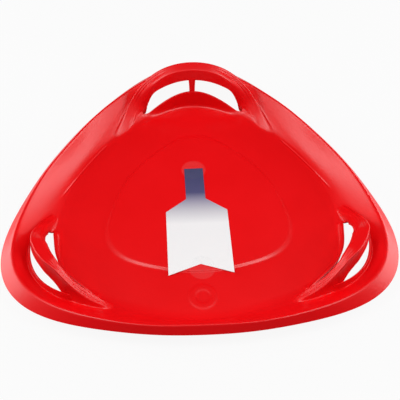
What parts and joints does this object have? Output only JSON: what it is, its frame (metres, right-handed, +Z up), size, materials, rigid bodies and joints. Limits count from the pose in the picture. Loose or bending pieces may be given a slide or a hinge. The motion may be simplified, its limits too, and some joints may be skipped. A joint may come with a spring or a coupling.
{
  "type": "saucer sled",
  "caption": "Three-cornered moulded plastic saucer sled: a shallow dish with a rolled rim and an arched hand grip over an open slot in each corner.",
  "frame": {"origin": "on the ground below the middle of the sled's bounding box", "axes": "+Z up, +Y towards the corner with the tow post (the front), +X to the rider's right"},
  "size_m": [0.6006, 0.5826, 0.081],
  "materials": {
    "moulding": "satin moulded",
    "card": "coated card",
    "clear_film": "clear film"
  },
  "bodies": {
    "root": {"seat_pan": "moulding", "wall_left": "moulding", "wall_rear": "moulding", "wall_right": "moulding", "corner_lip_front": "moulding", "corner_lip_left": "moulding", "corner_lip_right": "moulding", "corner_rim_front": "moulding", "corner_rim_left": "moulding", "corner_rim_right": "moulding", "grip_front": "moulding", "grip_left": "moulding", "grip_right": "moulding", "tow_post": "moulding", "card": "card", "sticker_upper": "clear_film", "sticker_lower": "clear_film"}
  },
  "joints": []
}
